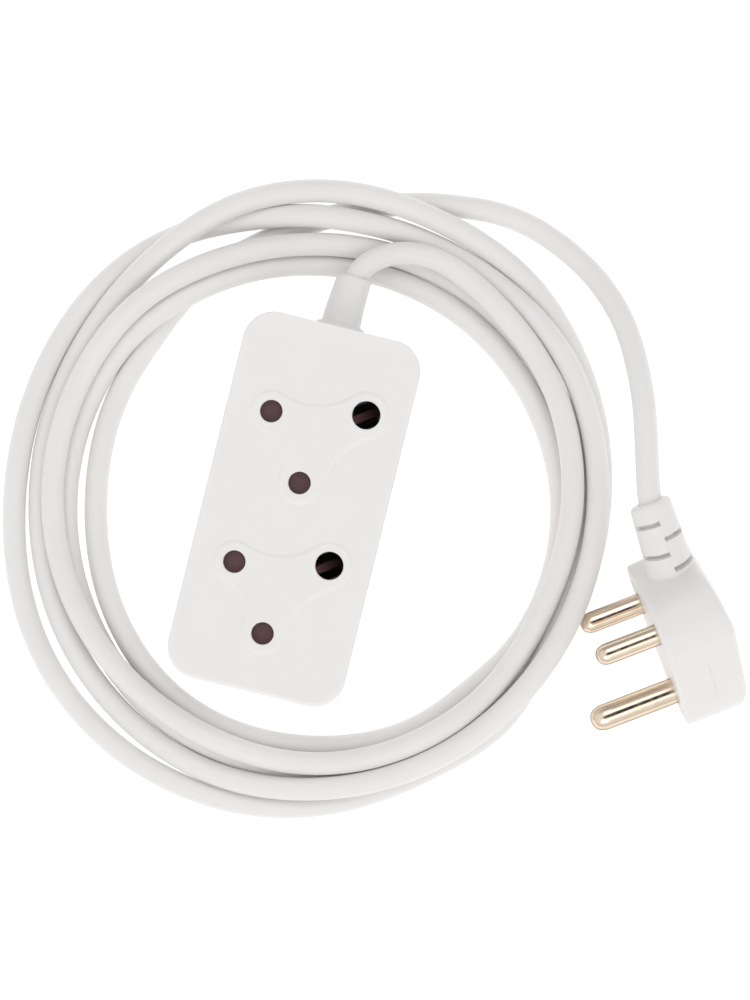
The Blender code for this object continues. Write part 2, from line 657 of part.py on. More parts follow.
def add_plug_wires():
    end = -9.9 * MM
    for pole, (side, lift) in CORES.items():
        x, y = PLUG_PINS[pole][0]
        start = Vector((side * 1.9 * MM, 8.2 * MM, PLUG_AXIS + lift * 1.9 * MM))
        turn = Vector((x, y, end - 3.2 * MM))
        middle = (start + turn) / 2
        points = [start, start - Vector((0, 1.5 * MM, 0)), middle, turn, Vector((x, y, end))]
        points = [plug_matrix @ point for point in points]
        tube(f"{pole}_plug_wire", points, 1.4 * MM, CORE_FINISHES[pole], 1)


def add_strain_relief():
    """A flared, tapering sleeve with slots cut from alternate sides, bent a little by the cord."""
    profile = [(BORE, RELIEF_LENGTH), (6.4 * MM, RELIEF_LENGTH), (6.85 * MM, RELIEF_LENGTH - 0.6 * MM)]
    profile += [((7.9 - 0.045 * height) * MM, height * MM) for height in (23, 19.5, 16, 12, 8, 4)]
    profile += [(8.6 * MM, 0)]
    profile += [(BORE, height * MM) for height in (0, 4, 8, 12, 16, 19.5, 23)]
    sleeve = turned("plug_strain_relief", profile, RUBBERY)
    for index in range(4):
        half_turn = 0.5 * pi - 0.12
        facing = pi / 2 if index % 2 else -pi / 2
        outline = arc((0, 0), 11 * MM, facing - half_turn, facing + half_turn, 8)
        outline += arc((0, 0), 5.4 * MM, facing + half_turn, facing - half_turn, 8)
        low = RELIEF_LENGTH - (7.6 + 5 * index) * MM
        combine(sleeve, "DIFFERENCE", prism(f"relief_slot_{index}", outline, low, low + 1.9 * MM))
    graph = bpy.context.evaluated_depsgraph_get()
    mesh = bpy.data.meshes.new_from_object(sleeve.evaluated_get(graph))
    for vert in mesh.vertices:
        x, y, z = vert.co
        vert.co = relief_place(x, z, PLUG_AXIS - y)
    sleeve.modifiers.clear()
    sleeve.data = mesh
    sleeve.matrix_world = plug_matrix


clear_scene()
parts = new_collection("extension_cord")
tools = new_collection("cutters")
plug_matrix = plug_pose()
gland_notch = rod("gland_notch", (0, 0), 5.8 * MM + GAP, -30 * MM, 30 * MM, sides=32)
gland_notch.matrix_world = Matrix.Translation((0, LENGTH / 2, SPLIT)) @ Matrix.Rotation(pi / 2, 4, "X")
add_top_cover()
add_base_shell()
add_screws()
add_buses()
for outlet_name in OUTLETS:
    for pole_name in POLES:
        add_contact(outlet_name, pole_name)
    add_shutter(outlet_name)
    add_shutter_spring(outlet_name)
add_carrier()
add_clamp()
add_gland()
add_socket_wires()
add_cord()
add_coil()
add_plug_body()
add_plug_insert()
add_plug_pins()
add_plug_wires()
add_strain_relief()
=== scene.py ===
"""Looks for the two-way extension cord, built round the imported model. Metres, +Z up.

Each outlet has its own axes: "across" runs from neutral to live, "along" from them to earth.
The plug has its own frame: +Z out of the pin face, +Y towards the cord, origin between live and neutral.
"""

from math import atan2, cos, pi, radians, sin, sqrt

import bmesh
import bpy
import numpy as np
from mathutils import Matrix, Vector


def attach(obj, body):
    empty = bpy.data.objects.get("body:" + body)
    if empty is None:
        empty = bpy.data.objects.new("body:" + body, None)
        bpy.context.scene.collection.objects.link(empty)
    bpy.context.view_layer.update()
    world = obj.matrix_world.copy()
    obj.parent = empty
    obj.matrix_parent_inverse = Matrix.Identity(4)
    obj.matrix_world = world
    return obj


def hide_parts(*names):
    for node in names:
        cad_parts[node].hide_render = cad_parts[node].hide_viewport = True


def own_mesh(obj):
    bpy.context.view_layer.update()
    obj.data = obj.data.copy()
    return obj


MM = 0.001
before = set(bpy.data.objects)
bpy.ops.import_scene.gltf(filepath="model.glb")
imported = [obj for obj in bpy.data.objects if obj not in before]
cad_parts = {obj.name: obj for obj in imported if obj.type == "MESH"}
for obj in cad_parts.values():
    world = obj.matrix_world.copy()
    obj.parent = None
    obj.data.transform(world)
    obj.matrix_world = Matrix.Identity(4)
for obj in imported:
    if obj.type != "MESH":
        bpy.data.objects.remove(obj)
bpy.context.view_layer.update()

# Housing
WIDTH, LENGTH, HEIGHT = 60 * MM, 124 * MM, 38 * MM
CORNER, WALL, SEAM = 10.5 * MM, 2.4 * MM, 15.5 * MM
SEAM_GAP = 0.15 * MM  # to each side of the seam
FLOOR_TOP, CEILING, PAD_RISE = 2.5 * MM, 35.5 * MM, 0.6 * MM
BOSS_RADIUS, NOTCH_RADIUS = 4.2 * MM, 6.1 * MM
BOSSES = [(x * MM, y * MM) for x in (-22.5, 22.5) for y in (-54.5, 54.5)]
CARRIER_POSTS = [(20 * MM, 9 * MM), (-21 * MM, -4 * MM)]

# Outlets
PIN_SPACING, EARTH_OFFSET = 25.4 * MM, 28.6 * MM
OUTLET_TURN = radians(35.2)
OUTLETS = {"1": Vector((-7.6, 19.2, 0)) * MM, "2": Vector((-7.6, -31.8, 0)) * MM}
ALONG = Vector((cos(OUTLET_TURN), sin(OUTLET_TURN), 0))
ACROSS = Vector((sin(OUTLET_TURN), -cos(OUTLET_TURN), 0))
POLES = {
    "live": ACROSS * PIN_SPACING / 2,
    "neutral": -ACROSS * PIN_SPACING / 2,
    "earth": ALONG * EARTH_OFFSET,
}
HOLE_RADIUS = {"live": 3.7 * MM, "neutral": 3.7 * MM, "earth": 4.65 * MM}

# Shutter springs
SPRING_HEIGHT, SPRING_RADIUS, SPRING_WIRE = 33.85 * MM, 1.25 * MM, 0.22 * MM
SPRING_START, SPRING_LENGTH, SPRING_TURNS = 5.0 * MM, 14.7 * MM, 6

# Cord
CORD_RADIUS = 3.9 * MM
GLAND_HEIGHT, GLAND_BEND_START, GLAND_TIP, GLAND_LEAN = 15.5, 64, 80.2, 0.85  # in millimetres
COIL_CENTRE = Vector((3.9, 4.1, 0)) * MM
TWELVE = radians(103.8)  # where the coil's clock has its twelve, turned from +X

# Plug
PLUG_ORIGIN = Vector((123.2, -7.4, 24.21)) * MM
PLUG_HEADING = radians(-55.2)
PLUG_EDGE, PLUG_AXIS = 12.6 * MM, -12.3 * MM  # outline radius at each pin, and the cord's depth
CAVITY_EDGE = 8.4 * MM  # outline radius of the hollow that the pin face fills
BACK_ROUNDING, PLUG_BACK = 4.2, 24  # in millimetres
RELIEF_LENGTH, RELIEF_BEND = 26, 85 * MM  # the length in millimetres

# Camera
VIEW_TURN = radians(13.8)
BEHIND = Vector((-sin(VIEW_TURN), cos(VIEW_TURN), 0))  # level, towards the picture's top


# ---------------------------------------------------------------- materials


def finish(name, colour, roughness, metallic=0.0, mottle=0.03, mottle_scale=60, grain=0.05, grain_scale=900,
           worn=0.0, waxy=0.0, edge=(1, 1, 1)):
    """A moulded, drawn or extruded surface: cloudy colour, uneven gloss and a fine grain."""
    made = bpy.data.materials.new(name)
    made.use_nodes = True
    nodes, links = made.node_tree.nodes, made.node_tree.links
    shader = nodes["Principled BSDF"]
    shader.inputs["Metallic"].default_value = metallic
    shader.inputs["Specular Tint"].default_value = (*edge, 1)
    shader.inputs["Subsurface Weight"].default_value = waxy
    shader.inputs["Subsurface Radius"].default_value = (1.0, 0.9, 0.8)
    shader.inputs["Subsurface Scale"].default_value = 0.002
    place = nodes.new("ShaderNodeTexCoord")

    def noise(scale, detail):
        node = nodes.new("ShaderNodeTexNoise")
        node.inputs["Scale"].default_value = scale
        node.inputs["Detail"].default_value = detail
        links.new(place.outputs["Object"], node.inputs["Vector"])
        return node.outputs["Fac"]

    clouds = noise(mottle_scale, 3)
    dark = tuple(channel * (1 - mottle) for channel in colour)
    light = tuple(min(1, channel * (1 + mottle)) for channel in colour)
    ramp = nodes.new("ShaderNodeValToRGB")
    ramp.color_ramp.elements[0].position = 0.3
    ramp.color_ramp.elements[0].color = (*dark, 1)
    ramp.color_ramp.elements[1].position = 0.7
    ramp.color_ramp.elements[1].color = (*light, 1)
    links.new(clouds, ramp.inputs["Fac"])
    links.new(ramp.outputs["Color"], shader.inputs["Base Color"])
    gloss = nodes.new("ShaderNodeMapRange")
    gloss.inputs["From Min"].default_value = 0.3
    gloss.inputs["From Max"].default_value = 0.7
    gloss.inputs["To Min"].default_value = roughness - 0.05 - worn
    gloss.inputs["To Max"].default_value = roughness + 0.05 + worn
    links.new(noise(mottle_scale * 2.3, 4), gloss.inputs["Value"])
    links.new(gloss.outputs["Result"], shader.inputs["Roughness"])
    bump = nodes.new("ShaderNodeBump")
    bump.inputs["Strength"].default_value = grain
    bump.inputs["Distance"].default_value = 0.0002
    links.new(noise(grain_scale, 2), bump.inputs["Height"])
    links.new(bump.outputs["Normal"], shader.inputs["Normal"])
    return made


HOUSING = finish("housing_plastic", (0.87, 0.857, 0.845), 0.36, mottle=0.008, grain=0.04, waxy=0.15)
SHEATH = finish("cord_sheath", (0.83, 0.815, 0.80), 0.42, mottle=0.014, mottle_scale=45, grain=0.1, waxy=0.15)
MOULDING = finish("plug_plastic", (0.82, 0.806, 0.79), 0.40, mottle=0.012, grain=0.08, waxy=0.15)
PIN_BRASS = finish("pin_brass", (0.84, 0.70, 0.555), 0.16, 1.0, mottle=0.05, mottle_scale=160, worn=0.03,
                   edge=(0.22, 0.19, 0.15))
# Brass darkened to a dull grey: painted shade for the dim insides of the pin holes, where the contacts sit.
SHADED_CONTACT_BRASS = finish("contact_brass", (0.36, 0.34, 0.30), 0.6, 0.3, mottle=0.10, worn=0.05, grain=0.1)
STEEL = finish("screw_steel", (0.60, 0.60, 0.62), 0.33, 1.0, mottle=0.08, mottle_scale=250, worn=0.05)
WIRE_STEEL = finish("spring_steel", (0.55, 0.55, 0.58), 0.28, 1.0, mottle=0.06, mottle_scale=250)
SHUTTER = finish("shutter_plastic", (0.115, 0.052, 0.056), 0.42, mottle=0.12, grain=0.1)
IVORY = finish("inner_plastic", (0.66, 0.63, 0.57), 0.5, mottle=0.03)
CORES = {
    "live": finish("live_core", (0.17, 0.065, 0.03), 0.42, mottle=0.06),
    "neutral": finish("neutral_core", (0.02, 0.09, 0.36), 0.42, mottle=0.06),
    "earth": finish("earth_core", (0.13, 0.40, 0.05), 0.42, mottle=0.06),
}
FLOOR = finish("floor_paper", (0.50, 0.50, 0.50), 0.9, mottle=0.004, mottle_scale=4, grain=0.02,
               grain_scale=300)


# ---------------------------------------------------------------- mesh helpers


def add(name, mesh, material=None, matrix=None, sharp=35):
    """Link a mesh, with its place in its vertices, so that its box is tight."""
    if matrix is not None:
        mesh.transform(matrix)
    obj = bpy.data.objects.new(name, mesh)
    bpy.context.scene.collection.objects.link(obj)
    if material:
        mesh.materials.append(material)
    mesh.shade_smooth()
    mesh.set_sharp_from_angle(angle=radians(sharp))
    return obj


def mesh_of(name, points, faces):
    """A mesh with doubled points welded and its faces turned outwards."""
    mesh = bpy.data.meshes.new(name)
    mesh.from_pydata([tuple(point) for point in points], [], faces)
    bm = bmesh.new()
    bm.from_mesh(mesh)
    bmesh.ops.remove_doubles(bm, verts=bm.verts, dist=1e-7)
    bmesh.ops.recalc_face_normals(bm, faces=bm.faces)
    bm.to_mesh(mesh)
    bm.free()
    return mesh


def skin(name, rings, loop=False):
    """A closed surface through rings of equal count: capped at both ends, or looped back to the first."""
    count = len(rings[0])
    points = [point for ring in rings for point in ring]
    faces = []
    for start in range(len(rings) if loop else len(rings) - 1):
        after = (start + 1) % len(rings)
        for side in range(count):
            ahead = (side + 1) % count
            near, far = start * count, after * count
            faces.append((near + side, near + ahead, far + ahead, far + side))
    if not loop:
        faces += [tuple(range(count)), tuple(range(len(points) - 1, len(points) - 1 - count, -1))]
    return mesh_of(name, points, faces)


def lathe(name, profile, sides=48):
    """A profile of (radius, height) turned about Z."""
    turns = [2 * pi * side / sides for side in range(sides)]
    rings = [[(radius * cos(turn), radius * sin(turn), z) for turn in turns] for radius, z in profile]
    return skin(name, rings)


def arc(centre, radius, start, end, steps):
    """Points on an arc, both ends included."""
    turns = [start + (end - start) * step / steps for step in range(steps + 1)]
    return [(centre[0] + radius * cos(turn), centre[1] + radius * sin(turn)) for turn in turns]


def rounded_rectangle(width, length, radius, steps=14):
    x, y = width / 2 - radius, length / 2 - radius
    outline = []
    for quarter, centre in enumerate([(x, y), (-x, y), (-x, -y), (x, -y)]):
        outline += arc(centre, radius, quarter * pi / 2, (quarter + 1) * pi / 2, steps)
    return outline


def belt(centres, radius, steps=20):
    """The outline of a belt round equal circles, given anticlockwise."""
    outline = []
    for index, centre in enumerate(centres):
        before, after = centres[index - 1], centres[(index + 1) % len(centres)]
        start = atan2(centre[1] - before[1], centre[0] - before[0]) - pi / 2
        end = atan2(after[1] - centre[1], after[0] - centre[0]) - pi / 2
        outline += arc(centre, radius, start, start + (end - start) % (2 * pi), steps)
    return outline


def lobed_pad(centres, radii, waists, steps=18):
    """Three round lobes, given anticlockwise, joined by hollow arcs that leave each waist between centres."""
    hollows = []
    for index, centre in enumerate(centres):
        after = centres[(index + 1) % 3]
        grow, grow_after = radii[index], radii[(index + 1) % 3]
        span = (after - centre).length
        ahead = (after - centre) / span
        outward = Vector((ahead.y, -ahead.x, 0))
        hollow = span / 2
        for _ in range(60):  # settles on the hollow arc's radius
            near, far = grow + hollow, grow_after + hollow
            reach = (span * span + near * near - far * far) / (2 * span)
            offset = sqrt(near * near - reach * reach)
            hollow += 2 * (waists[index] - offset + hollow)
        hollows.append((centre + ahead * reach + outward * offset, hollow))
    outline = []
    for index, centre in enumerate(centres):
        (behind, _), (beyond, hollow) = hollows[index - 1], hollows[index]
        start = atan2(*(behind - centre).yx)
        end = atan2(*(beyond - centre).yx)
        outline += arc(centre, radii[index], start, start + (end - start) % (2 * pi), steps)
        after = centres[(index + 1) % 3]
        start = atan2(*(centre - beyond).yx)
        end = atan2(*(after - beyond).yx)
        outline += arc(beyond, hollow, start, start - (start - end) % (2 * pi), steps)[1:-1]
    return outline


def rounding(radius, low_angle, high_angle, steps):
    """(inset, drop) pairs round an edge of this radius."""
    turns = [low_angle + (high_angle - low_angle) * step / steps for step in range(steps + 1)]
    return [(radius * (1 - cos(turn)), radius * (1 - sin(turn))) for turn in turns]


def at_height(outline, z):
    return [(x, y, z) for x, y in outline]


def cutter(name, mesh, matrix=None):
    """A shape that combine() adds or cuts away."""
    obj = add(name, mesh, None, matrix)
    obj.hide_render = True
    return obj


def combine(obj, operation, others):
    """Apply Booleans at once and take the tools away."""
    for other in others:
        step = obj.modifiers.new(other.name, "BOOLEAN")
        step.operation = operation
        step.object = other
        step.solver = "EXACT"
    graph = bpy.context.evaluated_depsgraph_get()
    mesh = bpy.data.meshes.new_from_object(obj.evaluated_get(graph))
    obj.modifiers.clear()
    obj.data = mesh
    for other in others:
        bpy.data.objects.remove(other)
    mesh.shade_smooth()
    mesh.set_sharp_from_angle(angle=radians(35))


def even_shading(obj):
    """Flat faces shade flat beside their rounded edges."""
    weighted = obj.modifiers.new("even_shading", "WEIGHTED_NORMAL")
    weighted.keep_sharp = True
    weighted.weight = 80


def upright_rod(name, place, radius, low, high, sides=48):
    """A cutter between two heights: a boss, a post or a bore."""
    mesh = lathe(name, [(radius, low), (radius, high)], sides)
    return cutter(name, mesh, Matrix.Translation((place[0], place[1], 0)))


# ---------------------------------------------------------------- housing


def housing_shell(name, low, high, top_edge, bottom_edge):
    """A rounded box as a stack of outlines, softened at one end."""
    stack = []
    if bottom_edge:
        for inset, rise in rounding(bottom_edge, pi / 2, 0, 6):
            stack.append((inset, low + rise))
    else:
        stack += [(0.35 * MM, low), (0.1 * MM, low + 0.1 * MM), (0, low + 0.35 * MM)]
    if top_edge:
        for inset, drop in rounding(top_edge, 0, pi / 2, 10):
            stack.append((inset, high - drop))
    else:
        stack += [(0, high - 0.35 * MM), (0.1 * MM, high - 0.1 * MM), (0.35 * MM, high)]
    rings = []
    for inset, z in stack:
        rings.append(at_height(rounded_rectangle(WIDTH - 2 * inset, LENGTH - 2 * inset, CORNER - inset), z))
    return add(name, skin(name, rings), HOUSING)


PAD_RIM = [(-0.85, -1), (-0.85, 0), (-0.6, 0.05), (-0.35, 0.16), (-0.1, 0.3), (0.15, 0.44), (0.4, 0.55),
           (0.65, 0.6)]


def pad_tool(outlet):
    """The raised pad, with a rim of (inset, rise) in millimetres that eases out of the cover."""
    centres = [OUTLETS[outlet] + POLES[pole] for pole in ("live", "earth", "neutral")]
    rings = []
    for inset, z in PAD_RIM:
        radii = [(lobe - inset) * MM for lobe in (6.6, 7.4, 6.6)]
        waists = [(waist - inset) * MM for waist in (3, 2.2, 2.2)]
        rings.append(at_height(lobed_pad(centres, radii, waists), HEIGHT + z * MM))
    return cutter(f"pad_{outlet}", skin(f"pad_{outlet}", rings))


def hole_tool(outlet, pole):
    """A pin hole with a softened mouth."""
    radius, top = HOLE_RADIUS[pole], HEIGHT + PAD_RISE
    profile = [(radius, CEILING - MM)]
    for wider, above in [(0, -0.4), (0.05, -0.2), (0.2, -0.05), (0.5, 0.02), (0.6, 1)]:
        profile.append((radius + wider * MM, top + above * MM))
    place = OUTLETS[outlet] + POLES[pole]
    return cutter(f"{pole}_hole_{outlet}", lathe("hole", profile, 64), Matrix.Translation(place))


def gland_notch():
    """The round opening that both shells leave for the gland."""
    mesh = lathe("notch", [(NOTCH_RADIUS, -30 * MM), (NOTCH_RADIUS, 30 * MM)], 64)
    return cutter("notch", mesh, Matrix.Translation((0, LENGTH / 2, SEAM)) @ Matrix.Rotation(pi / 2, 4, "X"))


def end_slope():
    """What the soft, dished slope at the cord's end takes off the top. It is turned about a point far
    beyond that end, so the slope's edge reaches further in at the middle than at the corners."""
    start, reach, run, drop = 53.8, 86.5, 8.2, 1.4
    clear = HEIGHT + 3 * MM
    profile = [(60 * MM, clear)]
    for step in range(13):
        into = 2.2 * (1 - step / 12)
        profile.append(((reach - run * into) * MM, HEIGHT - drop * min(into, 1.6) ** 1.5 * MM))
    profile.append(((reach + 0.6) * MM, clear))
    place = Matrix.Translation((0, (start + reach) * MM, 0))
    return cutter("end_slope", lathe("end_slope", profile, 240), place)


def make_cover():
    low, pilot_top = SEAM + SEAM_GAP, 28.5 * MM
    cover = housing_shell("cover_skin", low, HEIGHT, 1.4 * MM, 0)
    inner = at_height(rounded_rectangle(WIDTH - 2 * WALL, LENGTH - 2 * WALL, CORNER - WALL), 0)
    inside = cutter("inside", skin("inside", [inner, [(x, y, CEILING) for x, y, _ in inner]]))
    combine(cover, "DIFFERENCE", [inside, gland_notch(), end_slope()])
    posts = [upright_rod("boss", place, BOSS_RADIUS, low, CEILING + MM) for place in BOSSES]
    posts += [upright_rod("post", place, 3 * MM, 32.5 * MM, CEILING + MM) for place in CARRIER_POSTS]
    combine(cover, "UNION", posts + [pad_tool(outlet) for outlet in OUTLETS])
    holes = [hole_tool(outlet, pole) for outlet in OUTLETS for pole in POLES]
    holes += [upright_rod("pilot", place, 1.9 * MM, 0, pilot_top, 24) for place in BOSSES]
    holes += [upright_rod("pilot", place, 1.2 * MM, 0, CEILING + MM, 16) for place in CARRIER_POSTS]
    combine(cover, "DIFFERENCE", holes)
    even_shading(cover)
    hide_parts("top_cover")
    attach(cover, "housing")


def make_base():
    high = SEAM - SEAM_GAP
    base = housing_shell("base_skin", 0, high, 0, 1.2 * MM)
    inner = at_height(rounded_rectangle(WIDTH - 2 * WALL, LENGTH - 2 * WALL, CORNER - WALL), FLOOR_TOP)
    inside = cutter("inside", skin("inside", [inner, [(x, y, 20 * MM) for x, y, _ in inner]]))
    combine(base, "DIFFERENCE", [inside, gland_notch()])
    posts = [upright_rod("boss", place, BOSS_RADIUS, MM, high) for place in BOSSES]
    combine(base, "UNION", posts)
    cuts = []
    for place in BOSSES:
        cuts.append(upright_rod("bore", place, 1.9 * MM, -MM, 20 * MM, 24))
        recess = [(3.9 * MM, -0.3 * MM), (3.9 * MM, 0), (3.4 * MM, 0.45 * MM), (3.4 * MM, 3.5 * MM)]
        cuts.append(cutter("recess", lathe("recess", recess, 40), Matrix.Translation((*place, 0))))
    combine(base, "DIFFERENCE", cuts)
    even_shading(base)
    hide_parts("base_shell")
    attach(base, "housing")


# ---------------------------------------------------------------- cord

# The cord's five turns lie unevenly, so they have one value for each hour (30 degrees of clock), from
# one o'clock on the first turn. Distances from the coil's centre, in millimetres, measured and
# adjusted where a turn is hidden:
TURN_RADII = [
    92.2, 90.7, 88.7, 88.5, 89.0, 89.2, 86.3, 86.3, 86.8, 87.5, 86.1,
    86.0, 87.6, 89.3, 91.4, 91.5, 96.5, 104.1, 106.4, 105.1, 99.7, 100.0, 101.0,
    95.4, 95.9, 98.8, 96.5, 95.6, 96.3, 97.3, 97.1, 94.4, 91.2, 92.2, 97.6,
    104.6, 103.2, 102.0, 98.1, 94.8, 92.7, 93.1, 90.0, 85.4, 82.6, 81.7, 80.7,
    79.7, 81.0, 82.9, 85.3, 86.3, 86.5, 83.4, 82.1, 76.5, 72.1, 74.5, 81.6,
    93.0, 113.5,
]
# How far each hour stands above the floor, in cord diameters, guessed from which turn crosses which:
TURN_LAYERS = [
    1.05, 1.0, 1.4, 1.2, 1.4, 0.85, 0.85, 1.0, 0.85, 0.75, 1.7,
    0.8, 0, 0, 0.8, 1.0, 0, 0, 0, 0, 0, 0, 0,
    1.0, 0.2, 0.9, 1.28, 2.0, 1.4, 0.9, 0, 0, 0, 0, 0.9,
    1.0, 0.5, 0, 0, 0, 0.57, 0, 0, 0, 0, 0, 1.0,
    0, 0, 0, 0, 0, 0, 0, 0, 0, 0, 0, 0,
    0, 0,
]
FIRST_HOUR = 1.0  # where the coil takes over from the bend out of the gland
LAST_HOUR = 60.97  # where it hands over to the lead to the plug
STEPS_PER_HOUR = 15
# The two free stretches, in millimetres:
OUT_OF_GLAND = [(0, 60.3, 15.5), (0, 66, 15.5), (0.1, 72, 15.5), (0.35, 77, 15.5), (0.95, 81, 15.5),
                (3.1, 85.3, 15.4), (8.0, 89.5, 15.0), (14.7, 92.3, 14.0), (21.6, 93.2, 13.0)]
TO_THE_PLUG = [(43.2, 113.5, 3.9), (54.0, 112.0, 4.2), (65.4, 107.9, 6.5), (75.2, 102.5, 10.0),
               (83.4, 96.2, 14.5), (92.3, 86.0, 21.0), (99.0, 73.6, 27.8), (104.1, 61.0, 32.9),
               (107.7, 48.7, 35.5), (110.0, 40.5, 36.4)]


def smooth(points, parts):
    """A Catmull-Rom curve through the points."""
    points = [np.asarray(point, float) for point in points]
    points = [2 * points[0] - points[1], *points, 2 * points[-1] - points[-2]]
    fine = []
    for p0, p1, p2, p3 in zip(points, points[1:], points[2:], points[3:]):
        for part in range(parts):
            t = part / parts
            bend = (2 * p0 - 5 * p1 + 4 * p2 - p3) * t * t + (3 * p1 - p0 - 3 * p2 + p3) * t**3
            fine.append(p1 + ((p2 - p0) * t + bend) / 2)
    return fine + [points[-2]]


def even_steps(points, step):
    """The same path with points about this far apart."""
    points = np.array(points)
    walked = np.concatenate([[0], np.cumsum(np.linalg.norm(np.diff(points, axis=0), axis=1))])
    wanted = np.linspace(0, walked[-1], int(round(walked[-1] / step)) + 1)
    return np.stack([np.interp(wanted, walked, points[:, axis]) for axis in range(3)], 1)


def settled_lanes():
    """The coil's path at every two degrees, its turns moved apart until none lies in another."""
    lowest = CORD_RADIUS / MM
    per_turn, thick = 12 * STEPS_PER_HOUR, 2 * lowest + 0.06
    first, last = int(FIRST_HOUR * STEPS_PER_HOUR), int(LAST_HOUR * STEPS_PER_HOUR)
    clock = np.arange(first, last + 1) / STEPS_PER_HOUR
    parts = 30
    table = np.array(smooth(list(zip(TURN_RADII, TURN_LAYERS)), parts))
    hours = 1 + np.arange(len(table)) / parts
    radius = np.interp(clock, hours, table[:, 0])
    height = lowest + 2 * lowest * np.maximum(0, np.interp(clock, hours, table[:, 1]))
    lanes = np.stack([radius, height], 1)
    target = lanes.copy()

    def part_lanes():
        for gap in range(per_turn, len(lanes), per_turn):
            apart = lanes[gap:] - lanes[:-gap]
            distance = np.maximum(np.linalg.norm(apart, axis=1, keepdims=True), 1e-6)
            push = np.maximum(0, thick - distance) / distance * apart / 2
            lanes[gap:] += push
            lanes[:-gap] -= push
        lanes[:, 1] = np.maximum(lanes[:, 1], lowest)

    def relax(amount):
        middle = (lanes[:-2] + lanes[2:]) / 2
        lanes[1:-1] += (middle - lanes[1:-1]) * amount

    for _ in range(900):
        lanes += (target - lanes) * (0.04, 0.03)
        relax(0.5)
        part_lanes()
        part_lanes()
    for _ in range(120):
        relax(0.12)
        part_lanes()
        part_lanes()
        part_lanes()
    angle = TWELVE - clock * pi / 6
    x = COIL_CENTRE.x / MM + lanes[:, 0] * np.cos(angle)
    y = COIL_CENTRE.y / MM + lanes[:, 0] * np.sin(angle)
    return np.stack([x, y, lanes[:, 1]], 1)


def plug_pose():
    """The plug lies on the flat side that joins its neutral and earth corners."""
    tilt = atan2(PIN_SPACING / 2, EARTH_OFFSET)
    run, up = Vector((cos(PLUG_HEADING), sin(PLUG_HEADING), 0)), Vector((0, 0, 1))
    axes = (run * sin(tilt) + up * cos(tilt), up * sin(tilt) - run * cos(tilt), run.cross(up))
    return Matrix.Translation(PLUG_ORIGIN) @ Matrix(axes).transposed().to_4x4()


PLUG = plug_pose()


def relief_place(across, travelled, depth=PLUG_AXIS):
    """A point of the plug's frame, carried along the strain relief's bend: down, and a little back."""
    angle = travelled / RELIEF_BEND
    reach = RELIEF_BEND + across
    aside = 0.95 * MM * max(0, travelled / (RELIEF_LENGTH * MM)) ** 1.3
    root = PLUG_EDGE + 0.3 * MM
    return Vector((reach * cos(angle) - RELIEF_BEND, root + reach * sin(angle), depth - aside))


def cord_route():
    """The cord's centre line, from inside the socket's gland to inside the plug."""
    lanes = settled_lanes()
    start = smooth([*OUT_OF_GLAND, *lanes[:24:6]], 12)[: -3 * 12 - 1]
    relief = [PLUG @ relief_place(0, travelled * MM) / MM for travelled in (26, 22, 16, 10, 5, 0)]
    relief.append(PLUG @ Vector((0, 8.7 * MM, PLUG_AXIS)) / MM)
    end = smooth([*lanes[-19::6], *TO_THE_PLUG, *relief], 12)[3 * 12 + 1:]
    route = even_steps([*start, *lanes, *end], 2.5)
    for _ in range(4):
        route[1:-1] = route[1:-1] * 0.5 + (route[:-2] + route[2:]) * 0.25
    return route * MM


def tube(name, route, radius, sides):
    """A round tube along a route, without twist."""
    rings = []
    tangents = [Vector(tangent).normalized() for tangent in np.gradient(np.array(route), axis=0)]
    side = tangents[0].cross(Vector((0, 0, 1)))
    turns = [2 * pi * step / sides for step in range(sides)]
    for place, tangent in zip(route, tangents):
        side = (side - tangent * side.dot(tangent)).normalized()
        other = tangent.cross(side)
        rings.append([Vector(place) + (side * cos(turn) + other * sin(turn)) * radius for turn in turns])
    return skin(name, rings)


def make_cord(route):
    cord = add("cord", tube("cord", route, CORD_RADIUS, 20), SHEATH, sharp=60)
    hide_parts("cord_socket_lead", "cord_coil", "cord_plug_lead")
    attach(cord, "housing")
    length = float(np.linalg.norm(np.diff(route, axis=0), axis=1).sum())
    print(f"cord length {length:.4f} m")


# ---------------------------------------------------------------- gland, plug and pins


def make_gland():
    """Collar and tapering sleeve, leaning with the cord at its tip."""
    profile = [
        (4.1, 57.0), (7.1, 57.0), (7.4, 57.3), (7.4, 59.0), (7.1, 59.3), (5.8, 59.3), (5.8, 62.2),
        (7.3, 62.2), (8.05, 62.35), (8.2, 62.7), (8.2, 63.2), (8.05, 63.5), (7.5, 63.7), (6.95, 63.8),
        (6.65, 64.1), (6.55, 66.0), (6.36, 70.0), (6.17, 74.0), (6.0, 77.5), (5.93, 79.0), (5.85, 79.6),
        (5.65, 79.95), (5.3, 80.15), (4.8, 80.2), (4.2, 80.2), (3.8, 80.1), (3.8, 79.3), (4.1, 78.5),
        (4.1, 72.0), (4.1, 66.0),
    ]
    sides = 56
    turns = [2 * pi * side / sides for side in range(sides)]
    rings = []
    for radius, y in profile:
        lean = GLAND_LEAN * max(0, (y - GLAND_BEND_START) / (GLAND_TIP - GLAND_BEND_START)) ** 1.8
        ring = [(lean + radius * cos(turn), y, GLAND_HEIGHT + radius * sin(turn)) for turn in turns]
        rings.append([Vector(point) * MM for point in ring])
    gland = add("gland", skin("gland", rings, loop=True), MOULDING, sharp=50)
    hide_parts("cable_gland")
    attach(gland, "housing")
    return gland


PIN_PLACES = {"live": (12.7, 0), "neutral": (-12.7, 0), "earth": (0, -28.6)}
PIN_SIZES = {"live": (3.525, 21.5), "neutral": (3.525, 21.5), "earth": (4.35, 29.8)}  # radius and length
PLUG_CENTRES = [Vector((*PIN_PLACES[pole], 0)) * MM for pole in ("live", "neutral", "earth")]
PLUG_MIDDLE = sum(PLUG_CENTRES, Vector()) / 3


